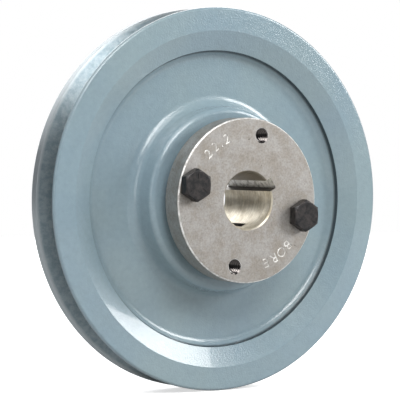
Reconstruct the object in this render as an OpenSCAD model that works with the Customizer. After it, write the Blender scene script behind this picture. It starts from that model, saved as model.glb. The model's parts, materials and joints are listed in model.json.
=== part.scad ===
// Single-groove V-belt pulley: a cast iron sheave held on its shaft by a split taper bushing,
// which two hexagon cap screws draw into the hub.
// The axis runs along Y, the bushing's flange faces -Y, and the origin is on the axis
// in the middle plane of the belt groove.

/* [Sheave rim] */
// Outside diameter over the lands beside the groove
sheave_od = 151.13; // [148:0.01:160]
// From the groove's middle plane to the front of the rim
rim_front = 8.0; // [7.6:0.1:10]
// From the groove's middle plane to the back of the rim
rim_rear = 11.05; // [9:0.05:12]
// Corner radius of the two lands
land_round = 1.3; // [0.4:0.1:1.4]
// Distance that the rim's side bands fall from their ridge to the inner step
band_fall = 3.1; // [2:0.1:4]
// Radius of the ridge between the two side bands
ridge_r = 66.4; // [64:0.1:70]
// Radius of the step where the side bands end
step_r = 58.7; // [55:0.1:60]

/* [Belt groove] */
// Width of the groove at the outside diameter
groove_width = 12.6; // [11.8:0.1:12.8]
// Included angle of the groove in degrees
groove_angle = 38; // [34:1:38]
// Depth of the groove below the outside diameter
groove_depth = 12.4; // [10:0.1:12.6]

/* [Web and hub] */
// From the groove's middle plane to the front of the web
web_front = 1.5; // [0.5:0.1:2.5]
// Thickness of the web
web_thick = 6.8; // [5:0.1:8]
// Hub diameter at its front edge
hub_od = 72; // [68:0.5:76]
// From the groove's middle plane to the front of the hub
hub_front = 12.3; // [11:0.1:14]
// Length of the hub
hub_length = 22.2; // [20:0.1:24]
// Corner radius of the hub
hub_round = 2.4; // [1:0.1:3]
// Radius of the fillet between the hub and the web, less where the hub is too low for it
foot_fillet = 4.6; // [1:0.1:5]
// Draft of the cast hub wall in degrees
hub_draft = 6; // [0:0.5:6]

/* [Bushing] */
// Shaft bore
bore_d = 22.225; // [15.875:0.001:25.4]
// Overall length of the bushing
bushing_length = 33.4; // [31.75:0.05:34]
// Flange diameter
flange_d = 64.0; // [62:0.1:66]
// Flange thickness
flange_thick = 9.525; // [8:0.005:11]
// Barrel diameter where it meets the flange
barrel_d = 41.275; // [40.5:0.005:42]
// Change of barrel diameter per unit of length
barrel_taper = 0.0625; // [0.05:0.0005:0.075]
// Space left between the hub and the flange when the bushing is seated
seat_gap = 3.4; // [1.5:0.1:5]
// Width of the two slots that split the barrel
split_w = 2.6; // [1.5:0.1:4]
// Direction of one split slot in degrees, from +X towards +Z
split_dir = -64; // [-70:1:-55]

/* [Keyway] */
// Width of the keyway
key_w = 4.7625; // [3:0.0005:6.4]
// From the axis to the keyway's floor
key_floor = 13.6; // [12.9:0.01:15]
// Direction of the keyway in degrees, from +X towards +Z
key_dir = 31; // [25:0.5:45]

/* [Cap screws and their holes] */
// Bolt circle through the flange and the hub
bolt_circle = 52; // [50.2:0.1:52.6]
// Direction of one cap screw in degrees, from +X towards +Z
screw_dir = -13; // [-20:0.5:0]
// Thread diameter of the cap screws
screw_d = 6.35; // [6:0.01:6.5]
// Length of a cap screw under its head
screw_length = 19.05; // [17:0.05:22]
// Width of the hexagon head across its flats
head_flats = 11.11; // [10:0.01:12]
// Height of the head with its washer face
head_height = 4.1; // [3.6:0.1:4.6]
// Hole that a cap screw passes through in the flange
clearance_d = 7.14; // [7:0.01:7.6]

/* [Hidden] */

$fn = 144;
// Running clearance between a thread's outside and the plain hole that stands for its tapped hole
thread_gap = 0.05;
// Clearance between the barrel and the hub's taper
taper_gap = 0.03;
tapped_d = screw_d + 2 * thread_gap;
overcut = 1;

sheave_r = sheave_od / 2;
land_fall = 0.35;
groove_edge = 0.3;
step_depth = 1.3;
step_run = 0.5;
rim_fillet = 3.4;
web_rear = web_front - web_thick;
hub_rear = hub_front - hub_length;
flange_rear = hub_front + seat_gap;
flange_front = flange_rear + flange_thick;
bushing_rear = flange_front - bushing_length;
bore_chamfer = 0.5;
flange_chamfer = 0.5;
barrel_chamfer = 0.6;
hub_chamfer = 0.8;
hole_chamfer = 0.6;
split_front = flange_rear - 0.6;
washer_face = 0.4;
washer_face_d = 10.4;

function arc(centre, r, from, to, steps) =
    [for (i = [0:steps]) centre + r * [cos(from + (to - from) * i / steps),
                                       sin(from + (to - from) * i / steps)]];

// Radius of the bushing's barrel at a distance forward of the groove's middle plane
function barrel_r(h) = barrel_d / 2 - barrel_taper / 2 * (flange_rear - h);
function socket_r(h) = barrel_r(h) + taper_gap;

// One side of the sheave from the hub's bore out to the groove's edge: h is measured
// forward on the front side, and backward, with side = -1, on the rear side
function hub_side(side, hub_end, web) =
    let (edge = hub_end - hub_round,
         fillet = min(foot_fillet, edge - web - 0.1),
         foot_r = hub_od / 2 + (edge - web - fillet) * tan(hub_draft))
    concat([[socket_r(side * hub_end) + hub_chamfer, side * hub_end]],
           [for (p = arc([hub_od / 2 - hub_round, edge], hub_round, 90, hub_draft, 4))
               [p[0], side * p[1]]],
           [for (p = arc([foot_r + fillet, web + fillet], fillet, 180, 270, 6))
               [p[0], side * p[1]]]);

function rim_side(side, rim_end, web) =
    let (step_h = rim_end - band_fall,
         floor_h = step_h - step_depth,
         wall_r = step_r - step_run)
    concat([for (t = [0:3])
               [wall_r - rim_fillet * (1 - sin(t * 30)),
                side * (web + (floor_h - web) * (1 - cos(t * 30)))]],
           [[step_r, side * step_h],
            [ridge_r, side * rim_end]],
           [for (p = arc([sheave_r - land_round, rim_end - land_fall - land_round],
                         land_round, 90, 0, 3))
               [p[0], side * p[1]]],
           [[sheave_r, side * (groove_width / 2 + groove_edge)],
            [sheave_r - groove_edge, side * groove_half(groove_edge)]],
           [[sheave_r - groove_depth, side * groove_half(groove_depth)]]);

// Half of the groove's width at a depth below the outside diameter
function groove_half(depth) = groove_width / 2 - depth * tan(groove_angle / 2);
function reversed(list) = [for (i = [len(list) - 1:-1:0]) list[i]];

sheave_outline = concat(
    hub_side(1, hub_front, web_front),
    rim_side(1, rim_front, web_front),
    reversed(rim_side(-1, rim_rear, -web_rear)),
    reversed(hub_side(-1, -hub_rear, -web_rear)),
    [[socket_r(hub_rear + hub_chamfer), hub_rear + hub_chamfer],
     [socket_r(hub_front - hub_chamfer), hub_front - hub_chamfer]]);

bushing_outline = [
    [bore_d / 2, bushing_rear + bore_chamfer],
    [bore_d / 2 + bore_chamfer, bushing_rear],
    [barrel_r(bushing_rear) - barrel_chamfer, bushing_rear],
    [barrel_r(bushing_rear + barrel_chamfer), bushing_rear + barrel_chamfer],
    [barrel_r(flange_rear - barrel_chamfer), flange_rear - barrel_chamfer],
    [barrel_r(flange_rear) + barrel_chamfer, flange_rear],
    [flange_d / 2 - flange_chamfer, flange_rear],
    [flange_d / 2, flange_rear + flange_chamfer],
    [flange_d / 2, flange_front - flange_chamfer],
    [flange_d / 2 - flange_chamfer, flange_front],
    [bore_d / 2 + bore_chamfer, flange_front],
    [bore_d / 2, flange_front - bore_chamfer]];

// Turns a shape built along Z so that its top faces the front, -Y
module face_front() {
    rotate([90, 0, 0]) children();
}

// Puts its children on the bolt circle, at the screw's direction or a turn away from it
module on_bolt_circle(turn) {
    rotate([0, 0, screw_dir + turn]) translate([bolt_circle / 2, 0, 0]) children();
}

module drilled(d, rear, front) {
    translate([0, 0, rear - overcut]) cylinder(d = d, h = front - rear + 2 * overcut);
    translate([0, 0, front - hole_chamfer])
        cylinder(d1 = d, d2 = d + 2 * (hole_chamfer + overcut), h = hole_chamfer + overcut);
}

module sheave() {
    color([0.48, 0.57, 0.61]) face_front() difference() {
        rotate_extrude() polygon(sheave_outline);
        for (turn = [0, 180])
            on_bolt_circle(turn) drilled(tapped_d, hub_rear, hub_front);
    }
}

module split_slots() {
    slot_length = split_front - bushing_rear + overcut;
    rotate([0, 0, split_dir])
        translate([-barrel_d, -split_w / 2, bushing_rear - overcut])
            cube([2 * barrel_d, split_w, slot_length]);
}

module keyway() {
    rotate([0, 0, key_dir])
        translate([0, -key_w / 2, bushing_rear - overcut])
            cube([key_floor, key_w, bushing_length + 2 * overcut]);
}

module split_taper_bushing() {
    color([0.62, 0.60, 0.57]) face_front() difference() {
        rotate_extrude() polygon(bushing_outline);
        split_slots();
        keyway();
        for (turn = [0, 180]) {
            on_bolt_circle(turn) drilled(clearance_d, flange_rear, flange_front);
            on_bolt_circle(turn + 90) drilled(tapped_d, flange_rear, flange_front);
        }
    }
}

// Hexagon head with a washer face below and a 30 degree chamfer on top,
// its corners turned to +Z and -Z
module hex_head() {
    corner_r = head_flats / sqrt(3);
    top_r = head_flats * 0.475;
    cylinder(d = washer_face_d, h = washer_face);
    translate([0, 0, washer_face]) intersection() {
        rotate([0, 0, 30]) cylinder(r = corner_r, h = head_height - washer_face, $fn = 6);
        union() {
            chamfer_h = (corner_r - top_r) * tan(30);
            side_h = head_height - washer_face - chamfer_h;
            cylinder(r = corner_r + overcut, h = side_h - overcut * tan(30));
            translate([0, 0, side_h - overcut * tan(30)])
                cylinder(r1 = corner_r + overcut, r2 = top_r,
                         h = chamfer_h + overcut * tan(30));
        }
    }
}

module cap_screw() {
    tip = 0.8;
    translate([0, 0, flange_front]) {
        hex_head();
        translate([0, 0, tip - screw_length]) cylinder(d = screw_d, h = screw_length - tip);
        translate([0, 0, -screw_length])
            cylinder(d1 = screw_d - 2 * tip, d2 = screw_d, h = tip);
    }
}

// The bolt circle's turn is undone, so that the head keeps its corners up and down
module placed_screw(turn) {
    color([0.20, 0.19, 0.19]) face_front()
        on_bolt_circle(turn) rotate([0, 0, -screw_dir - turn]) cap_screw();
}

module cap_screw_left() {
    placed_screw(180);
}

module cap_screw_right() {
    placed_screw(0);
}

sheave();
split_taper_bushing();
cap_screw_left();
cap_screw_right();
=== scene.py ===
"""V-belt pulley: the finished look of its sheave, split taper bushing and cap screws.

Everything is in metres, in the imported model's frame: the axis runs along Y, the bushing's
flange faces -Y, and the origin is in the middle plane of the belt groove. Outlines are given
as (radius, station, corner radius) in millimetres, a station being the distance forward, -Y,
from that plane.
"""
import json
import math

import bpy
from bpy.props import FloatProperty, FloatVectorProperty, PointerProperty, StringProperty
from mathutils import Matrix, Quaternion, Vector


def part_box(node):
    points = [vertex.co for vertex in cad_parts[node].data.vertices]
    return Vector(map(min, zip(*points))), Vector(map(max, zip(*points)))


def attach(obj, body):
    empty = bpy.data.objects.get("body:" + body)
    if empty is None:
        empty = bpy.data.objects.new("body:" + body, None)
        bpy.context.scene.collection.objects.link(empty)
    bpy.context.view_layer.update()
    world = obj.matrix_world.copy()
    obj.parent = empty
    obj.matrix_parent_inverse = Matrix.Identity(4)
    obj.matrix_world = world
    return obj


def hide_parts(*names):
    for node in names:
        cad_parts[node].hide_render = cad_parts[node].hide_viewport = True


bl_info = {
    "name": "V-Belt Pulley",
    "version": (1, 0, 0),
    "blender": (4, 5, 0),
    "location": "View3D > Sidebar > Pulley",
    "description": "Builds a V-belt pulley on its split taper bushing, with a studio stage",
    "category": "Add Mesh",
}

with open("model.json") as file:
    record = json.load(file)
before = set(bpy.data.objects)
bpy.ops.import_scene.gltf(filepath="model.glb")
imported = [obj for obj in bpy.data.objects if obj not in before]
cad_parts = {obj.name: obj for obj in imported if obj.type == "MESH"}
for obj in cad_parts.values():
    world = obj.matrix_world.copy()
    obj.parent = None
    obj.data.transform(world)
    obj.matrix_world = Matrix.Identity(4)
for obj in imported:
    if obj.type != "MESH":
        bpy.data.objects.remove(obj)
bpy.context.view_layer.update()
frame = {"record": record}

MM = 0.001
SHEAVE_LOW, SHEAVE_HIGH = (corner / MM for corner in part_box("sheave"))
BUSHING_LOW, BUSHING_HIGH = (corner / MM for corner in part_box("split_taper_bushing"))
SCREW_NODES = {"left": "cap_screw_left", "right": "cap_screw_right"}
MOUNTS = {mount["name"]: mount for mount in frame["record"]["mounts"]}
UPPER_JACK = Vector(MOUNTS["jack_hole_upper"]["pos_m"]) / MM

FLANGE_FRONT = -BUSHING_LOW.y
HUB_FRONT = -SHEAVE_LOW.y
AROUND = 2 * math.pi
SPIN_STEPS = 216
THREAD_STEPS = 36
ARC_STEP = math.radians(11)
OVERCUT = 2.0

# Stations, gaps and small sizes, in millimetres: they suit the sizes below and stay fixed
RIM_FRONT = 8.0
TAPER_GAP = 0.03
HUB_CHAMFER = 0.8
STEP_RUN = 0.25
STEP_DEPTH = 1.4
COVE_RUN = 2.3
COVE_ROUND = 3.6
LAND_FALL = 0.35
SPLIT_STOP = 0.6
TIP_CHAMFER = 0.6
CLEARANCE_R = 3.57
COUNTERSINK_LIP = 0.22
WASHER_FACE = 0.4
HEAD_BEVEL = 0.14
NECK_R = 2.6

# Marks stamped in the flange and raised on the screw heads, in millimetres: directions are
# in radians, and POINT_SPACING is a share of MARK_SPACING
BORE_MARK_DIRECTION = math.radians(125)
WORD_MARK_DIRECTION = math.radians(-56)
MARK_RADIUS = 25.6
MARK_SPACING = 4.1
POINT_SPACING = 0.45
MARK_SIZE = 5.4
MARK_DEPTH = 0.22
MARK_RISE = 0.12
MARK_WIDTH = 0.38

# Stage, in metres and degrees: the lens is in millimetres
FLOOR_SIZE = 2.4
FLOOR_GAP = 0.0002
FLOOR_GREY = (0.48, 0.48, 0.48, 1.0)
FLOOR_PALE = (0.86, 0.86, 0.86, 1.0)
FLOOR_GLOW = 0.62
WORLD_GREY = (0.125, 0.133, 0.142, 1.0)
WHITE = (1.0, 1.0, 1.0, 1.0)
LIGHT_DISTANCE = 1.6
CAMERA_AZIMUTH = -32.86
CAMERA_ELEVATION = 1.32
CAMERA_ROLL = 0.85
CAMERA_DISTANCE = 0.7148
CAMERA_TARGET = Vector((-0.0059, 0.0, -0.0005))
CAMERA_LENS = 162.46
# Name, azimuth, elevation, roll, angular width, angular height, radiance
SOFTBOXES = [
    ("key_softbox", 57, 23.5, -36, 27, 24, 10.5),
    ("upper_left_softbox", -12, 39, 0, 38, 17, 9.0),
    ("top_softbox", -38, 60, 0, 46, 30, 3.0),
    ("left_strip", -68, 5, 0, 22, 56, 1.8),
    ("back_fill", 168, 32, 0, 60, 40, 3.2),
]


def length(name, description, default_mm):
    """A distance shown in the sidebar, stored in metres and given here in millimetres."""
    return FloatProperty(name=name, description=description, default=default_mm * MM,
                         min=0.0, precision=5, unit="LENGTH", subtype="DISTANCE")


def angle(name, description, default_degrees):
    return FloatProperty(name=name, description=description,
                         default=math.radians(default_degrees), unit="ROTATION",
                         subtype="ANGLE")


def colour(name, description, default):
    return FloatVectorProperty(name=name, description=description, default=default,
                               size=3, min=0.0, max=1.0, subtype="COLOR")


class SheaveSizes(bpy.types.PropertyGroup):
    groove_width: length("Groove width", "Width of the belt groove at the rim", 12.6)
    groove_depth: length("Groove depth", "Depth of the belt groove", 12.4)
    groove_angle: angle("Groove angle", "Included angle of the belt groove", 38)
    land_round: length("Land corner", "Corner radius of the lands beside the groove", 1.1)
    ridge_radius: length("Ridge radius", "Where the rim's two side bands meet", 66.4)
    step_radius: length("Step radius", "Where the side bands end above the web", 58.7)
    band_fall: length("Band fall", "Fall of the inner side band from its ridge", 3.1)
    web_front: length("Web front", "Station of the web's front face", 1.5)
    web_thickness: length("Web thickness", "Thickness of the web", 6.8)
    hub_radius: length("Hub radius", "Radius of the hub at its front edge", 36.0)
    hub_round: length("Hub corner", "Corner radius of the hub", 2.4)
    hub_length: length("Hub length", "Length of the hub", 22.2)
    foot_fillet: length("Foot fillet", "Fillet between the hub and the web", 4.6)
    hub_draft: angle("Hub draft", "Draft of the cast hub wall", 6)


class BushingSizes(bpy.types.PropertyGroup):
    flange_thickness: length("Flange thickness", "Thickness of the flange", 9.525)
    barrel_diameter: length("Barrel diameter", "Barrel diameter at the flange", 41.275)
    taper: FloatProperty(name="Taper", default=0.0625, precision=4,
                         description="Change of barrel diameter per unit of length")
    edge_chamfer: length("Edge chamfer", "Chamfer around the flange", 0.5)
    bore_chamfer: length("Bore chamfer", "Chamfer at the ends of the bore", 0.5)
    split_width: length("Split width", "Width of the slots that split the barrel", 2.6)
    split_direction: angle("Split direction", "Direction of one slot from +X", -64)
    key_width: length("Keyway width", "Width of the keyway", 4.7625)
    key_floor: length("Keyway floor", "From the axis to the keyway's floor", 13.6)
    key_direction: angle("Keyway direction", "Direction of the keyway from +X", 31)
    bore_mark: StringProperty(name="Bore mark", default="22.2",
                              description="Bore size stamped in the flange")
    word_mark: StringProperty(name="Word mark", default="BORE",
                              description="Word stamped in the flange")


class ScrewSizes(bpy.types.PropertyGroup):
    thread_radius: length("Thread radius", "Outside radius of the thread", 3.12)
    root_radius: length("Root radius", "Radius at the root of the thread", 2.42)
    pitch: length("Pitch", "Pitch of the thread", 1.27)
    shank_length: length("Length", "Length under the head", 19.05)
    head_flats: length("Across flats", "Width of the hexagon head", 11.11)
    head_height: length("Head height", "Height of the head with its washer face", 4.1)
    tap_gap: length("Tapped hole gap", "Radial gap between thread and tapped hole", 0.09)


class Finishes(bpy.types.PropertyGroup):
    enamel: colour("Enamel", "Main colour of the painted casting", (0.222, 0.303, 0.348))
    enamel_green: colour("Enamel patches", "Greener patches in the enamel",
                         (0.242, 0.319, 0.345))
    steel: colour("Steel", "Bare steel of the flange", (0.440, 0.426, 0.411))
    bore_steel: colour("Bore steel", "Machined steel of the bore", (0.82, 0.765, 0.64))
    oxide: colour("Black oxide", "Dark finish of the cap screws", (0.036, 0.036, 0.037))


# Outlines and modelling steps

def rounded(corners):
    """Turns (radius, station, corner radius) points into an outline with round corners."""
    outline = []
    for i, (x, y, fillet) in enumerate(corners):
        corner = Vector((x, y))
        if not fillet:
            outline.append(corner)
            continue
        before = Vector(corners[i - 1][:2]) - corner
        after = Vector(corners[(i + 1) % len(corners)][:2]) - corner
        half = before.angle(after) / 2
        bisector = (before.normalized() + after.normalized()).normalized()
        centre = corner + bisector * (fillet / math.sin(half))
        start = corner + before.normalized() * (fillet / math.tan(half)) - centre
        turn = math.pi - 2 * half
        if start.x * after.y - start.y * after.x < 0:
            turn = -turn
        steps = max(2, math.ceil(abs(turn) / ARC_STEP))
        for step in range(steps + 1):
            spin = Matrix.Rotation(turn * step / steps, 2)
            outline.append(centre + spin @ start)
    return outline


def deselect_all():
    bpy.ops.object.select_all(action="DESELECT")


def make_active(piece):
    deselect_all()
    piece.select_set(True)
    bpy.context.view_layer.objects.active = piece


def start_mesh(name, where=(0.0, 0.0, 0.0)):
    """Adds a plane that stands at a place, and melts it into one vertex to draw from."""
    deselect_all()
    bpy.ops.mesh.primitive_plane_add(size=MM, location=where)
    piece = bpy.context.object
    piece.name = name
    bpy.ops.object.mode_set(mode="EDIT")
    bpy.ops.mesh.select_all(action="SELECT")
    bpy.ops.mesh.merge(type="CENTER")
    return piece


def draw_outline(outline, closed):
    """Extrudes the open vertex along (radius, station) points in the plane of X and Y."""
    points = [Vector((x, -y, 0.0)) * MM for x, y in outline]
    if closed:
        points.append(points[0])
    bpy.ops.transform.translate(value=points[0])
    for here, there in zip(points, points[1:]):
        bpy.ops.mesh.extrude_region_move(TRANSFORM_OT_translate={"value": there - here})


def close_mesh():
    """Merges an edited mesh's seams, turns its faces outward and leaves edit mode."""
    bpy.ops.mesh.select_all(action="SELECT")
    bpy.ops.mesh.remove_doubles(threshold=MM * 0.002)
    bpy.ops.mesh.normals_make_consistent(inside=False)
    bpy.ops.object.mode_set(mode="OBJECT")


def apply_place(piece):
    """Moves a piece's place and turn into its mesh."""
    make_active(piece)
    bpy.ops.object.transform_apply(location=True, rotation=True, scale=True)


def spun_solid(name, corners, centre=(0.0, 0.0), steps=SPIN_STEPS, closed=True):
    """Spins an outline about an axis along Y that passes through centre, (x, z) in mm."""
    where = Vector((centre[0], 0.0, centre[1])) * MM
    piece = start_mesh(name, where)
    draw_outline(rounded(corners), closed)
    bpy.ops.mesh.select_all(action="SELECT")
    bpy.ops.mesh.spin(steps=steps, angle=AROUND, center=where, axis=(0, 1, 0))
    close_mesh()
    apply_place(piece)
    return piece


def box_solid(name, centre, size, direction=0.0):
    """A box centred in (x, station, z) before it is turned about the axis to a direction."""
    deselect_all()
    bpy.ops.mesh.primitive_cube_add(size=1.0)
    piece = bpy.context.object
    piece.name = name
    x, station, z = centre
    shape = Matrix.Translation(Vector((x, -station, z)) * MM)
    shape @= Matrix.Diagonal((*[side * MM for side in size], 1.0))
    piece.matrix_world = Matrix.Rotation(-direction, 4, "Y") @ shape
    apply_place(piece)
    return piece


def combine(solid, tool, operation):
    """Applies a boolean and deletes the tool. Cut faces keep the tool's finish."""
    make_active(solid)
    bpy.ops.object.modifier_add(type="BOOLEAN")
    boolean = solid.modifiers[-1]
    boolean.operation = operation
    boolean.solver = "EXACT"
    boolean.material_mode = "TRANSFER"
    boolean.object = tool
    bpy.ops.object.modifier_apply(modifier=boolean.name)
    deselect_all()
    tool.select_set(True)
    bpy.ops.object.delete()
    return solid


def finish_surface(piece, sharp_degrees=32):
    """Welds what the booleans left, marks crisp edges and keeps flat faces flat in shading."""
    make_active(piece)
    bpy.ops.object.mode_set(mode="EDIT")
    bpy.ops.mesh.select_all(action="SELECT")
    bpy.ops.mesh.remove_doubles(threshold=MM * 0.0005)
    bpy.ops.object.mode_set(mode="OBJECT")
    bpy.ops.object.shade_smooth_by_angle(angle=math.radians(sharp_degrees))
    bpy.ops.object.modifier_add(type="WEIGHTED_NORMAL")
    weighted = piece.modifiers[-1]
    weighted.keep_sharp = True
    weighted.weight = 90
    bpy.ops.object.modifier_apply(modifier=weighted.name)


def paint(piece, finish):
    """Gives a whole piece or tool one finish."""
    piece.data.materials.clear()
    piece.data.materials.append(finish)
    return piece


def paint_faces(piece, finish, wanted):
    """Gives a second finish to the faces whose (radius, station) in mm the test accepts."""
    piece.data.materials.append(finish)
    index = len(piece.data.materials) - 1
    for face in piece.data.polygons:
        centre = face.center / MM
        if wanted(math.hypot(centre.x, centre.z), -centre.y):
            face.material_index = index


def threaded_rod(name, crest, root, pitch, front, rear, centre):
    """A rod with a real helical thread between two stations.

    One tooth is drawn and wound by a Screw modifier, and the ends are sawn off flat. Every
    rod starts a whole number of pitches from the origin, so a screw meets its tapped hole.
    """
    first = math.floor(rear / pitch) - 2
    turns = math.ceil(front / pitch) + 2 - first
    where = Vector((centre[0], 0.0, centre[1])) * MM
    piece = start_mesh(name, where)
    tooth = [(root, 0.0), (root, 0.2), (crest, 0.52), (crest, 0.66), (root, 1.0)]
    draw_outline([(r, (first + part) * pitch) for r, part in tooth], closed=False)
    bpy.ops.object.mode_set(mode="OBJECT")
    bpy.ops.object.modifier_add(type="SCREW")
    winding = piece.modifiers[-1]
    winding.axis = "Y"
    winding.angle = AROUND
    winding.screw_offset = -pitch * MM
    winding.iterations = turns
    winding.steps = winding.render_steps = THREAD_STEPS
    bpy.ops.object.modifier_apply(modifier=winding.name)
    bpy.ops.object.mode_set(mode="EDIT")
    bpy.ops.mesh.select_all(action="SELECT")
    bpy.ops.mesh.remove_doubles(threshold=MM * 0.002)
    for station, side in ((front, -1.0), (rear, 1.0)):
        bpy.ops.mesh.select_all(action="SELECT")
        bpy.ops.mesh.bisect(plane_co=(0.0, -station * MM, 0.0), plane_no=(0.0, side, 0.0),
                            use_fill=True, clear_outer=True)
    close_mesh()
    apply_place(piece)
    return piece


def tapped_hole(solid, centre, front, rear, thread, lip):
    """Cuts a threaded hole with a countersunk mouth at each end."""
    screw = bpy.context.scene.pulley_screw
    crest = screw.thread_radius / MM + screw.tap_gap / MM
    root = screw.root_radius / MM + screw.tap_gap / MM
    rod = threaded_rod("tap", crest, root, screw.pitch / MM, front + OVERCUT,
                       rear - OVERCUT, centre)
    combine(solid, paint(rod, thread), "DIFFERENCE")
    mouth = crest - COUNTERSINK_LIP
    for station, outward in ((front, 1.0), (rear, -1.0)):
        countersink(solid, centre, station, outward, mouth, lip)


def countersink(solid, centre, station, outward, mouth, finish):
    """Cuts a 45 degree cone that is `mouth` wide, in radius, at a face."""
    cone = spun_solid("countersink", [
        (0.0, station - outward * mouth, 0.0),
        (mouth + OVERCUT, station + outward * OVERCUT, 0.0),
        (0.0, station + outward * OVERCUT, 0.0)], centre, steps=48)
    combine(solid, paint(cone, finish), "DIFFERENCE")


def plain_hole(solid, centre, radius, front, rear, finish):
    """Drills a hole right through between two stations."""
    drill = spun_solid("drill", [
        (0.0, front + OVERCUT, 0.0), (radius, front + OVERCUT, 0.0),
        (radius, rear - OVERCUT, 0.0), (0.0, rear - OVERCUT, 0.0)], centre, steps=48)
    combine(solid, paint(drill, finish), "DIFFERENCE")


def screw_centres():
    """The cap screws' axes, as (x, z) in millimetres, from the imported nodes."""
    centres = {}
    for side, cad_node in SCREW_NODES.items():
        low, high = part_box(cad_node)
        middle = (low + high) / (2 * MM)
        centres[side] = (middle.x, middle.z)
    return centres


# Shader building

def brighten(tree, colour_value, factor):
    """Multiplies a colour's value, for flecks and streaks."""
    return shader_node(tree, "ShaderNodeHueSaturation", {
        "Color": colour_value, "Value": factor}).outputs["Color"]


def shader_node(tree, kind, inputs=None, **settings):
    """Adds a shader node. An input may be a value or another node's output."""
    made = tree.nodes.new(kind)
    for key, value in settings.items():
        setattr(made, key, value)
    for socket, value in (inputs or {}).items():
        if isinstance(value, bpy.types.NodeSocket):
            tree.links.new(value, made.inputs[socket])
        else:
            made.inputs[socket].default_value = value
    return made


def new_finish(name, **shader_values):
    """A material with a Principled shader. Returns it, its tree, its shader and coordinates."""
    finish = bpy.data.materials.new(name)
    finish.use_nodes = True
    tree = finish.node_tree
    shader = next(n for n in tree.nodes if n.type == "BSDF_PRINCIPLED")
    for socket, value in shader_values.items():
        shader.inputs[socket.replace("_", " ")].default_value = value
    coords = tree.nodes.new("ShaderNodeTexCoord").outputs["Object"]
    return finish, tree, shader, coords


def noise(tree, coords, scale, detail=2.0, roughness=0.5, stretch=(1, 1, 1), shift=(0, 0, 0)):
    """Noise at so many cells a metre, optionally stretched along an axis."""
    placed = shader_node(tree, "ShaderNodeMapping", {
        "Vector": coords, "Scale": stretch, "Location": shift})
    return shader_node(tree, "ShaderNodeTexNoise", {
        "Vector": placed.outputs["Vector"], "Scale": scale, "Detail": detail,
        "Roughness": roughness}).outputs["Fac"]


def spread(tree, value, low, high, to_low=0.0, to_high=1.0):
    """Maps a value's range to another, clamped."""
    return shader_node(tree, "ShaderNodeMapRange", {
        "Value": value, "From Min": low, "From Max": high,
        "To Min": to_low, "To Max": to_high}).outputs["Result"]


def blend(tree, factor, first, second):
    """Mixes two colours by a factor."""
    mixed = shader_node(tree, "ShaderNodeMix", data_type="RGBA")
    for socket, value in ((0, factor), (6, first), (7, second)):
        if isinstance(value, bpy.types.NodeSocket):
            tree.links.new(value, mixed.inputs[socket])
        else:
            mixed.inputs[socket].default_value = value
    return mixed.outputs[2]


def bumps(tree, shader, layers):
    """Stacks (height, depth in mm, strength) layers into the shader's normal."""
    normal = None
    for height, depth, strength in layers:
        inputs = {"Height": height, "Distance": depth * MM, "Strength": strength}
        if normal:
            inputs["Normal"] = normal
        normal = shader_node(tree, "ShaderNodeBump", inputs).outputs["Normal"]
    tree.links.new(normal, shader.inputs["Normal"])


def solid_colour(value):
    return (*value, 1.0)


def enamel_finish():
    """Gloss enamel sprayed on a rough casting, with orange peel and faint colour patches.

    Painted shade darkens the paint in the corner under the step between band and web.
    """
    colours = bpy.context.scene.pulley_finishes
    finish, tree, shader, coords = new_finish(
        "enamel", Metallic=0.0, Coat_Weight=0.55, Coat_Roughness=0.06, IOR=1.5)
    patches = noise(tree, coords, 22, 3.0, 0.55)
    tone = blend(tree, spread(tree, patches, 0.38, 0.62),
                 solid_colour(colours.enamel), solid_colour(colours.enamel_green))
    speckle = noise(tree, coords, 480, 5.0, 0.7, shift=(3, 1, 7))
    dusty = brighten(tree, tone, spread(tree, speckle, 0.30, 0.72, 0.93, 1.05))
    away = axial_distance(tree, coords)
    edge = bpy.context.scene.pulley_sheave.step_radius
    # Painted shade: a near-black band just inside the step's edge stands in for the shadow in
    # the corner under the step.
    below = shader_node(tree, "ShaderNodeMath", {0: away, 1: edge - 0.03 * MM},
                        operation="LESS_THAN").outputs["Value"]
    step_corner_shade = shader_node(tree, "ShaderNodeMath", {
        0: spread(tree, away, edge - 1.0 * MM, edge - 0.3 * MM), 1: below},
        operation="MULTIPLY").outputs["Value"]
    tree.links.new(blend(tree, step_corner_shade, dusty, (0.036, 0.050, 0.058, 1.0)),
                   shader.inputs["Base Color"])
    streaks = noise(tree, coords, 95, 4.0, 0.6, shift=(9, 4, 2))
    tree.links.new(spread(tree, streaks, 0.3, 0.7, 0.128, 0.208), shader.inputs["Roughness"])
    bumps(tree, shader, [
        (noise(tree, coords, 150, 3.0, 0.5), 0.10, 0.35),
        (noise(tree, coords, 620, 2.0, 0.5, shift=(5, 5, 5)), 0.022, 0.45),
        (noise(tree, coords, 1500, 2.0, 0.6, shift=(2, 6, 4)), 0.140, 0.90)])
    return finish


def groove_finish():
    """Thin paint worn to the turned iron, for the groove's walls and the rear land.

    The turning's lay runs around the axis, so highlights stretch across it.
    """
    finish, tree, shader, coords = new_finish(
        "worn_enamel", Metallic=0.75, Anisotropic=0.85, Anisotropic_Rotation=0.25)
    lay = shader_node(tree, "ShaderNodeTangent", direction_type="RADIAL", axis="Y")
    tree.links.new(lay.outputs["Tangent"], shader.inputs["Tangent"])
    wear = noise(tree, coords, 420, 5.0, 0.7)
    fine = noise(tree, coords, 1400, 3.0, 0.65, shift=(8, 3, 3))
    paint_tone = blend(tree, spread(tree, wear, 0.40, 0.60),
                       (0.21, 0.27, 0.295, 1.0), (0.30, 0.355, 0.38, 1.0))
    rim = SHEAVE_HIGH.x * MM
    land = spread(tree, axial_distance(tree, coords), rim - 1.2 * MM, rim - 0.3 * MM)
    tree.links.new(blend(tree, land, paint_tone, (0.42, 0.46, 0.48, 1.0)),
                   shader.inputs["Base Color"])
    tree.links.new(spread(tree, fine, 0.25, 0.75, 0.32, 0.46), shader.inputs["Roughness"])
    bumps(tree, shader, [(wear, 0.03, 0.5), (fine, 0.06, 0.9)])
    return finish


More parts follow.
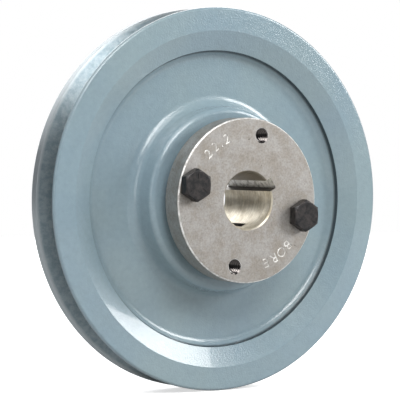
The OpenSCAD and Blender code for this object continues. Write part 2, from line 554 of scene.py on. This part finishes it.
def axial_distance(tree, coords):
    """Distance from the pulley's axis, in metres."""
    parts = shader_node(tree, "ShaderNodeSeparateXYZ", {"Vector": coords}).outputs
    flat = shader_node(tree, "ShaderNodeCombineXYZ", {"X": parts["X"], "Z": parts["Z"]})
    return shader_node(tree, "ShaderNodeVectorMath", {"Vector": flat.outputs["Vector"]},
                       operation="LENGTH").outputs["Value"]


def flange_finish():
    """Bare turned steel: mottled and oiled, with faint turning rings and dark pits."""
    colours = bpy.context.scene.pulley_finishes
    finish, tree, shader, coords = new_finish("bare_steel", Metallic=0.9)
    mottle = noise(tree, coords, 170, 6.0, 0.68)
    cloud = noise(tree, coords, 42, 3.0, 0.5, shift=(2, 8, 5))
    grain = noise(tree, coords, 1500, 4.0, 0.7, shift=(1, 3, 8))
    light = solid_colour(colours.steel)
    brown = (light[0] * 0.74, light[1] * 0.69, light[2] * 0.62, 1.0)
    tone = blend(tree, spread(tree, mottle, 0.38, 0.62, 0.80, 0.0), light, brown)
    tone = blend(tree, spread(tree, cloud, 0.35, 0.7, 0.35, 0.0), tone, brown)
    pitting = noise(tree, coords, 700, 1.0, 0.4, shift=(7, 7, 1))
    flecking = noise(tree, coords, 1300, 5.0, 0.8, shift=(4, 9, 6))
    tone = blend(tree, spread(tree, pitting, 0.17, 0.22, 0.8, 0.0), tone,
                 (0.05, 0.04, 0.035, 1.0))
    flecked = brighten(tree, tone, spread(tree, flecking, 0.32, 0.68, 0.80, 1.24))
    tree.links.new(flecked, shader.inputs["Base Color"])
    tree.links.new(spread(tree, grain, 0.25, 0.75, 0.42, 0.62), shader.inputs["Roughness"])
    rings = shader_node(tree, "ShaderNodeTexNoise", {
        "W": axial_distance(tree, coords), "Scale": 5200.0, "Detail": 3.0},
        noise_dimensions="1D").outputs["Fac"]
    bumps(tree, shader, [(rings, 0.010, 0.30), (mottle, 0.05, 0.35), (grain, 0.015, 0.5)])
    return finish


def bore_finish():
    """Bored steel with a straw tint, circular tool marks and painted shade over its upper part.
    """
    colours = bpy.context.scene.pulley_finishes
    finish, tree, shader, coords = new_finish("bored_steel", Metallic=0.6)
    marks = noise(tree, coords, 60, 4.0, 0.7, stretch=(0.6, 60, 0.6))
    stain = noise(tree, coords, 230, 4.0, 0.6)
    straw = solid_colour(colours.bore_steel)
    dull = (straw[0] * 0.50, straw[1] * 0.45, straw[2] * 0.37, 1.0)
    tone = blend(tree, spread(tree, stain, 0.35, 0.65, 0.0, 0.8), straw, dull)
    tone = brighten(tree, tone, spread(tree, marks, 0.38, 0.60, 0.70, 1.05))
    height = shader_node(tree, "ShaderNodeSeparateXYZ", {"Vector": coords}).outputs["Z"]
    # Painted shade: the bore's colour darkens towards its top, from 3 mm to 8 mm above the axis.
    oil = spread(tree, height, 3.0 * MM, 8.0 * MM, 0.0, 0.9)
    tree.links.new(blend(tree, oil, tone, (0.20, 0.175, 0.14, 1.0)),
                   shader.inputs["Base Color"])
    tree.links.new(spread(tree, marks, 0.25, 0.75, 0.26, 0.42), shader.inputs["Roughness"])
    bumps(tree, shader, [(marks, 0.05, 0.9), (stain, 0.03, 0.4)])
    return finish


def stamped_and_highlight_finish():
    """Bright metal of struck characters; also a painted highlight on the flange's rubbed edge
    chamfer and in the jack holes' countersinks, and a painted reflection on the keyway's floor.
    """
    finish, tree, shader, coords = new_finish("stamped_and_highlight_steel", Metallic=0.6)
    grain = noise(tree, coords, 1500, 3.0, 0.6)
    rubbed = noise(tree, coords, 420, 4.0, 0.7, shift=(1, 2, 3))
    tree.links.new(blend(tree, spread(tree, rubbed, 0.38, 0.56),
                         (0.50, 0.48, 0.45, 1.0), (0.92, 0.91, 0.88, 1.0)),
                   shader.inputs["Base Color"])
    tree.links.new(spread(tree, grain, 0.3, 0.7, 0.35, 0.6), shader.inputs["Roughness"])
    bumps(tree, shader, [(grain, 0.02, 0.4)])
    return finish


def socket_finish():
    """Machined iron of the hub's taper and of the tapped holes, dark with oil."""
    finish, tree, shader, coords = new_finish("machined_iron", Metallic=0.95)
    marks = noise(tree, coords, 60, 4.0, 0.7, stretch=(0.6, 50, 0.6), shift=(4, 0, 2))
    stain = noise(tree, coords, 210, 4.0, 0.6)
    tree.links.new(blend(tree, spread(tree, stain, 0.35, 0.65),
                         (0.30, 0.285, 0.27, 1.0), (0.17, 0.155, 0.145, 1.0)),
                   shader.inputs["Base Color"])
    tree.links.new(spread(tree, marks, 0.25, 0.75, 0.30, 0.5), shader.inputs["Roughness"])
    bumps(tree, shader, [(marks, 0.012, 0.5)])
    return finish


def thread_finish():
    """Cut threads, darkened to near black as painted shade for the holes, and glinting on the
    flanks.
    """
    # Painted shade: a near-black base colour stands in for the shade inside the tapped holes.
    finish, tree, shader, coords = new_finish(
        "cut_thread", Metallic=1.0, Base_Color=(0.11, 0.10, 0.095, 1.0), Roughness=0.20)
    bumps(tree, shader, [(noise(tree, coords, 900, 3.0, 0.6), 0.02, 0.5)])
    return finish


def keyway_finish():
    """Broached steel of the keyway's walls, darkened with painted shade."""
    finish, tree, shader, coords = new_finish("keyway_shade_steel", Metallic=0.8, Roughness=0.4)
    keyway_shade_mottle = noise(tree, coords, 400, 4.0, 0.6, stretch=(0.4, 0.1, 0.4))
    # Painted shade: near-black base colours stand in for the shade on the keyway's walls.
    tree.links.new(blend(tree, spread(tree, keyway_shade_mottle, 0.35, 0.65),
                         (0.035, 0.030, 0.025, 1.0), (0.11, 0.10, 0.085, 1.0)),
                   shader.inputs["Base Color"])
    return finish


def oxide_finish():
    """Black oxide on forged and rolled steel: nearly black, with a soft brown bloom."""
    colours = bpy.context.scene.pulley_finishes
    finish, tree, shader, coords = new_finish("black_oxide", Metallic=0.85)
    dark = solid_colour(colours.oxide)
    bloom = noise(tree, coords, 520, 5.0, 0.65)
    rubbed = noise(tree, coords, 1900, 4.0, 0.7, shift=(6, 1, 1))
    tone = blend(tree, spread(tree, bloom, 0.42, 0.68, 0.0, 0.6), dark,
                 (dark[0] * 2.9, dark[1] * 2.5, dark[2] * 2.3, 1.0))
    tree.links.new(tone, shader.inputs["Base Color"])
    tree.links.new(spread(tree, rubbed, 0.25, 0.75, 0.34, 0.58), shader.inputs["Roughness"])
    bumps(tree, shader, [(bloom, 0.06, 0.6), (rubbed, 0.03, 0.7)])
    return finish


class PULLEY_OT_sheave(bpy.types.Operator):
    """Build the painted sheave: rim, belt groove, web and hub"""
    bl_idname = "pulley.sheave"
    bl_label = "Sheave"

    def execute(self, context):
        sizes = context.scene.pulley_sheave
        bushing = context.scene.pulley_bushing
        enamel = enamel_finish()
        machined, thread = socket_finish(), thread_finish()
        rim = SHEAVE_HIGH.x
        rim_rear = SHEAVE_HIGH.y
        hub_rear = HUB_FRONT - sizes.hub_length / MM
        groove_half = sizes.groove_width / MM / 2
        floor_r = rim - sizes.groove_depth / MM
        floor_half = groove_half - sizes.groove_depth / MM * math.tan(sizes.groove_angle / 2)
        web_front = sizes.web_front / MM
        web_rear = web_front - sizes.web_thickness / MM
        flange_rear = FLANGE_FRONT - bushing.flange_thickness / MM

        def socket(station):
            """Radius of the hub's taper at a station."""
            barrel = bushing.barrel_diameter / MM - bushing.taper * (flange_rear - station)
            return barrel / 2 + TAPER_GAP

        def hub_side(end, web, side):
            """Corners from the taper's mouth, over the hub and down to the web."""
            foot = sizes.hub_radius / MM + abs(end - web) * math.tan(sizes.hub_draft)
            inner = end - side * HUB_CHAMFER
            fillet = min(sizes.foot_fillet, abs(end - web) * MM - sizes.hub_round) / MM
            return [(socket(inner), inner, 0.15), (socket(end) + HUB_CHAMFER, end, 0.15),
                    (sizes.hub_radius / MM, end, sizes.hub_round / MM),
                    (foot, web, fillet)]

        def rim_side(end, web, side):
            """Corners from the web, over the two side bands and down to the groove's floor."""
            step = end - side * sizes.band_fall / MM
            wall = sizes.step_radius / MM
            return [(wall - COVE_RUN, web, COVE_ROUND),
                    (wall - STEP_RUN, step - side * STEP_DEPTH, 0.12),
                    (wall, step, 0.18),
                    (sizes.ridge_radius / MM, end, 0.8),
                    (rim, end - side * LAND_FALL, sizes.land_round / MM),
                    (rim, side * groove_half, 0.2),
                    (floor_r, side * floor_half, 0.6)]

        corners = hub_side(HUB_FRONT, web_front, 1) + rim_side(RIM_FRONT, web_front, 1)
        corners += reversed(rim_side(-rim_rear, web_rear, -1))
        corners += reversed(hub_side(hub_rear, web_rear, -1))
        sheave = paint(spun_solid("painted_sheave", corners), enamel)
        paint_faces(sheave, machined, lambda r, h: r < socket(HUB_FRONT) + HUB_CHAMFER)
        paint_faces(sheave, groove_finish(),
                    lambda r, h: (r > rim - 0.4 and h < 0) or
                    (r > floor_r - 1 and abs(h) < groove_half))
        for centre in screw_centres().values():
            tapped_hole(sheave, centre, HUB_FRONT, hub_rear, thread, machined)
        finish_surface(sheave)
        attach(sheave, "sheave")
        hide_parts("sheave")
        return {"FINISHED"}


class PULLEY_OT_bushing(bpy.types.Operator):
    """Build the split taper bushing with its flange, holes, keyway and stamped marks"""
    bl_idname = "pulley.bushing"
    bl_label = "Split Taper Bushing"

    def execute(self, context):
        sizes = context.scene.pulley_bushing
        steel, bored = flange_finish(), bore_finish()
        stamped, machined = stamped_and_highlight_finish(), bpy.data.materials["machined_iron"]
        bore = MOUNTS["shaft_bore"]["dims"]["r_mm"]
        rear = -BUSHING_HIGH.y
        flange_r = BUSHING_HIGH.x
        flange_rear = FLANGE_FRONT - sizes.flange_thickness / MM
        edge, chamfer = sizes.edge_chamfer / MM, sizes.bore_chamfer / MM

        def barrel(station):
            """Radius of the barrel at a station."""
            return (sizes.barrel_diameter / MM - sizes.taper * (flange_rear - station)) / 2

        solid = spun_solid("split_bushing", [
            (bore, rear + chamfer, 0.1), (bore + chamfer, rear, 0.1),
            (barrel(rear) - TIP_CHAMFER, rear, 0.15),
            (barrel(rear + TIP_CHAMFER), rear + TIP_CHAMFER, 0.15),
            (barrel(flange_rear), flange_rear, 0.8),
            (flange_r - edge, flange_rear, 0.2), (flange_r, flange_rear + edge, 0.2),
            (flange_r, FLANGE_FRONT - edge, 0.2), (flange_r - edge, FLANGE_FRONT, 0.2),
            (bore + chamfer, FLANGE_FRONT, 0.1), (bore, FLANGE_FRONT - chamfer, 0.1)])
        paint(solid, steel)
        paint_faces(solid, bored, lambda r, h: r < bore + chamfer)
        # Painted highlight: the flange's front edge chamfer, a rubbed edge, takes the bright
        # metal so that it shows as a highlight ring.
        paint_faces(solid, stamped, lambda r, h: r > flange_r - edge and h > FLANGE_FRONT - edge)
        split_front = flange_rear - SPLIT_STOP
        span = split_front - rear + OVERCUT
        saw = box_solid("saw", (0.0, split_front - span / 2, 0.0),
                        (4 * bore, span, sizes.split_width / MM), sizes.split_direction)
        combine(solid, paint(saw, machined), "DIFFERENCE")
        floor_r = sizes.key_floor / MM
        key_span = FLANGE_FRONT - rear + 2 * OVERCUT
        broach = box_solid("broach", (floor_r / 2, (FLANGE_FRONT + rear) / 2, 0.0),
                           (floor_r, key_span, sizes.key_width / MM), sizes.key_direction)
        paint(broach, keyway_finish())
        # Painted reflection: the keyway's floor takes the bright metal.
        paint_faces(broach, stamped, lambda r, h: r > floor_r - 0.01)
        combine(solid, broach, "DIFFERENCE")
        for centre in screw_centres().values():
            plain_hole(solid, centre, CLEARANCE_R, FLANGE_FRONT, flange_rear, machined)
        # Painted highlight: the jack holes' countersinks take the bright stamped metal.
        for side in (1, -1):
            centre = (side * UPPER_JACK.x, side * UPPER_JACK.z)
            tapped_hole(solid, centre, FLANGE_FRONT, flange_rear,
                        bpy.data.materials["cut_thread"], stamped)
        stamp(solid, sizes.bore_mark, BORE_MARK_DIRECTION, stamped)
        stamp(solid, sizes.word_mark, WORD_MARK_DIRECTION, stamped)
        finish_surface(solid)
        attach(solid, "bushing")
        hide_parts("split_taper_bushing")
        return {"FINISHED"}


def stamp(solid, words, middle, finish):
    """Strikes characters into the flange along an arc, with their tops outward."""
    widths = [MARK_SPACING * (POINT_SPACING if character == "." else 1.0)
              for character in words]
    for place, character in enumerate(words):
        along = sum(widths[:place]) + widths[place] / 2 - sum(widths) / 2
        direction = middle - along / MARK_RADIUS
        deselect_all()
        bpy.ops.object.text_add()
        letter = bpy.context.object
        letter.data.body = character
        letter.data.align_x = "CENTER"
        letter.data.align_y = "CENTER"
        letter.data.size = MARK_SIZE * MM
        letter.data.extrude = MARK_DEPTH * MM
        bpy.ops.object.convert(target="MESH")
        letter = bpy.context.object
        upright = Matrix.Rotation(math.radians(90) - direction, 4, "Y")
        facing = Matrix.Rotation(math.radians(90), 4, "X")
        out = Vector((math.cos(direction), 0.0, math.sin(direction))) * MARK_RADIUS
        place_at = Matrix.Translation((out + Vector((0.0, -FLANGE_FRONT, 0.0))) * MM)
        letter.matrix_world = place_at @ upright @ facing
        apply_place(letter)
        bpy.ops.object.mode_set(mode="EDIT")
        close_mesh()
        combine(solid, paint(letter, finish), "DIFFERENCE")


class PULLEY_OT_cap_screws(bpy.types.Operator):
    """Build the two hexagon cap screws with real threads"""
    bl_idname = "pulley.cap_screws"
    bl_label = "Cap Screws"

    def execute(self, context):
        oxide = oxide_finish()
        for side, centre in screw_centres().items():
            screw = hexagon_screw(f"hexagon_cap_screw_{side}", centre,
                                  context.scene.pulley_screw)
            paint(screw, oxide)
            finish_surface(screw)
            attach(screw, f"screw_{side}")
            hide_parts(SCREW_NODES[side])
        return {"FINISHED"}


def hexagon_screw(name, centre, sizes):
    """Head, washer face and threaded shank, fused into one solid on the screw's axis."""
    flats, height = sizes.head_flats / MM, sizes.head_height / MM
    top = FLANGE_FRONT + height - MARK_RISE
    corner = flats / math.sqrt(3)
    crown = flats * 0.475
    slope = (corner + OVERCUT - crown) * math.tan(math.radians(30))
    deselect_all()
    prism_height = height - WASHER_FACE - MARK_RISE
    bpy.ops.mesh.primitive_cylinder_add(
        vertices=6, radius=corner * MM, depth=prism_height * MM,
        location=Vector((centre[0], prism_height / 2 - top, centre[1])) * MM,
        rotation=(math.radians(90), 0.0, 0.0))
    head = bpy.context.object
    head.name = name
    apply_place(head)
    crown_tool = spun_solid("crown", [
        (0.0, top, 0.0), (crown, top, 0.3), (corner + OVERCUT, top - slope, 0.0),
        (corner + OVERCUT, FLANGE_FRONT - OVERCUT, 0.0),
        (0.0, FLANGE_FRONT - OVERCUT, 0.0)], centre, steps=120)
    combine(head, crown_tool, "INTERSECT")
    bevel_edges(head, HEAD_BEVEL)
    washer_r = flats * 0.468
    collar = spun_solid("collar", [
        (0.0, FLANGE_FRONT + 1.0, 0.0), (washer_r, FLANGE_FRONT + 1.0, 0.0),
        (washer_r, FLANGE_FRONT, 0.12), (NECK_R, FLANGE_FRONT, 0.0),
        (NECK_R, FLANGE_FRONT - 1.6, 0.0), (0.0, FLANGE_FRONT - 1.6, 0.0)],
        centre, steps=72)
    combine(head, collar, "UNION")
    tip = FLANGE_FRONT - sizes.shank_length / MM
    crest = sizes.thread_radius / MM
    rod = threaded_rod("thread", crest, sizes.root_radius / MM, sizes.pitch / MM,
                       FLANGE_FRONT - 1.0, tip - 1.0, centre)
    blank = spun_solid("blank", [
        (0.0, FLANGE_FRONT, 0.0), (crest + 1.0, FLANGE_FRONT, 0.0),
        (crest + 1.0, tip + 1.8, 0.0), (crest - 0.8, tip, 0.0), (0.0, tip, 0.0)],
        centre, steps=72)
    combine(rod, blank, "INTERSECT")
    combine(head, rod, "UNION")
    for turn in range(3):
        grade_mark(head, centre, top, math.radians(90 + 120 * turn), crown)
    return head


def bevel_edges(piece, width):
    """Rounds a piece's crisp edges with a bevel."""
    make_active(piece)
    bpy.ops.object.modifier_add(type="BEVEL")
    bevel = piece.modifiers[-1]
    bevel.width = width * MM
    bevel.segments = 2
    bevel.limit_method = "ANGLE"
    bevel.angle_limit = math.radians(24)
    bpy.ops.object.modifier_apply(modifier=bevel.name)


def grade_mark(head, centre, top, direction, crown):
    """Raises one of the head's three radial grade lines."""
    inner, outer = crown * 0.45, crown * 0.86
    line = box_solid("line", ((inner + outer) / 2, top, 0.0),
                     (outer - inner, 2 * MARK_RISE, MARK_WIDTH), direction)
    line.location = Vector((centre[0], 0.0, centre[1])) * MM
    apply_place(line)
    combine(head, line, "UNION")


class PULLEY_OT_stage(bpy.types.Operator):
    """Set up the pale floor, the soft studio lights and the camera"""
    bl_idname = "pulley.stage"
    bl_label = "Studio Stage"

    def execute(self, context):
        make_floor()
        make_world()
        make_lights()
        make_camera(context.scene)
        context.scene.view_settings.view_transform = "Standard"
        return {"FINISHED"}


def make_floor():
    """A pale floor that looks white to the camera and returns less light to the pulley."""
    deselect_all()
    bpy.ops.mesh.primitive_plane_add(size=FLOOR_SIZE,
                                     location=(0.0, 0.0, SHEAVE_LOW.z * MM - FLOOR_GAP))
    floor = bpy.context.object
    floor.name = "floor"
    finish, tree, shader, coords = new_finish("pale_floor", Roughness=0.8)
    seen = tree.nodes.new("ShaderNodeLightPath").outputs["Is Camera Ray"]
    tree.links.new(blend(tree, seen, FLOOR_GREY, FLOOR_PALE), shader.inputs["Base Color"])
    shader.inputs["Emission Color"].default_value = WHITE
    tree.links.new(spread(tree, seen, 0.0, 1.0, 0.0, FLOOR_GLOW),
                   shader.inputs["Emission Strength"])
    paint(floor, finish)
    apply_place(floor)


def make_world():
    """White behind the pulley, and a softer grey for what its surfaces reflect."""
    world = bpy.data.worlds.new("studio")
    bpy.context.scene.world = world
    world.use_nodes = True
    tree = world.node_tree
    background = next(n for n in tree.nodes if n.type == "BACKGROUND")
    path = tree.nodes.new("ShaderNodeLightPath")
    tree.links.new(blend(tree, path.outputs["Is Camera Ray"], WORLD_GREY, WHITE),
                   background.inputs["Color"])


def make_lights():
    """Softboxes that face the origin, sized by the angles they fill."""
    for name, azimuth, elevation, roll, width, height, radiance in SOFTBOXES:
        turn, rise = math.radians(azimuth), math.radians(elevation)
        toward = Vector((math.sin(turn) * math.cos(rise),
                         -math.cos(turn) * math.cos(rise), math.sin(rise)))
        across, up = (2 * LIGHT_DISTANCE * math.tan(math.radians(span) / 2)
                      for span in (width, height))
        deselect_all()
        bpy.ops.object.light_add(type="AREA", location=toward * LIGHT_DISTANCE)
        lamp = bpy.context.object
        lamp.name = name
        lamp.rotation_mode = "QUATERNION"
        twist = Quaternion((0.0, 0.0, 1.0), math.radians(roll))
        lamp.rotation_quaternion = toward.to_track_quat("Z", "Y") @ twist
        lamp.data.shape = "RECTANGLE"
        lamp.data.size, lamp.data.size_y = across, up
        lamp.data.energy = radiance * math.pi * across * up
        lamp.visible_camera = False


def make_camera(scene):
    """A long lens, a little to the left of the pulley and just above its axis."""
    turn, rise = math.radians(CAMERA_AZIMUTH), math.radians(CAMERA_ELEVATION)
    back = Vector((math.sin(turn) * math.cos(rise), -math.cos(turn) * math.cos(rise),
                   math.sin(rise)))
    deselect_all()
    bpy.ops.object.camera_add(location=CAMERA_TARGET + back * CAMERA_DISTANCE)
    camera = bpy.context.object
    camera.rotation_mode = "QUATERNION"
    roll = Quaternion((0.0, 0.0, 1.0), math.radians(CAMERA_ROLL))
    camera.rotation_quaternion = back.to_track_quat("Z", "Y") @ roll
    camera.data.lens = CAMERA_LENS
    camera.data.clip_start = 0.01
    scene.camera = camera


class PULLEY_PT_sidebar(bpy.types.Panel):
    bl_label = "V-Belt Pulley"
    bl_idname = "PULLEY_PT_sidebar"
    bl_space_type = "VIEW_3D"
    bl_region_type = "UI"
    bl_category = "Pulley"

    def draw(self, context):
        layout = self.layout
        for operator, group in STEPS:
            layout.operator(operator)
            if not group:
                continue
            sizes = getattr(context.scene, group)
            for name in sizes.__annotations__:
                layout.prop(sizes, name)


STEPS = [("pulley.sheave", "pulley_sheave"), ("pulley.bushing", "pulley_bushing"),
         ("pulley.cap_screws", "pulley_screw"), ("pulley.stage", "pulley_finishes")]
GROUPS = {"pulley_sheave": SheaveSizes, "pulley_bushing": BushingSizes,
          "pulley_screw": ScrewSizes, "pulley_finishes": Finishes}
CLASSES = (*GROUPS.values(), PULLEY_OT_sheave, PULLEY_OT_bushing, PULLEY_OT_cap_screws,
           PULLEY_OT_stage, PULLEY_PT_sidebar)


def register():
    for cls in CLASSES:
        bpy.utils.register_class(cls)
    for name, group in GROUPS.items():
        setattr(bpy.types.Scene, name, PointerProperty(type=group))


def unregister():
    for name in GROUPS:
        delattr(bpy.types.Scene, name)
    for cls in reversed(CLASSES):
        bpy.utils.unregister_class(cls)


def main():
    register()
    bpy.ops.pulley.sheave()
    bpy.ops.pulley.bushing()
    bpy.ops.pulley.cap_screws()
    bpy.ops.pulley.stage()


if __name__ == "__main__":
    main()
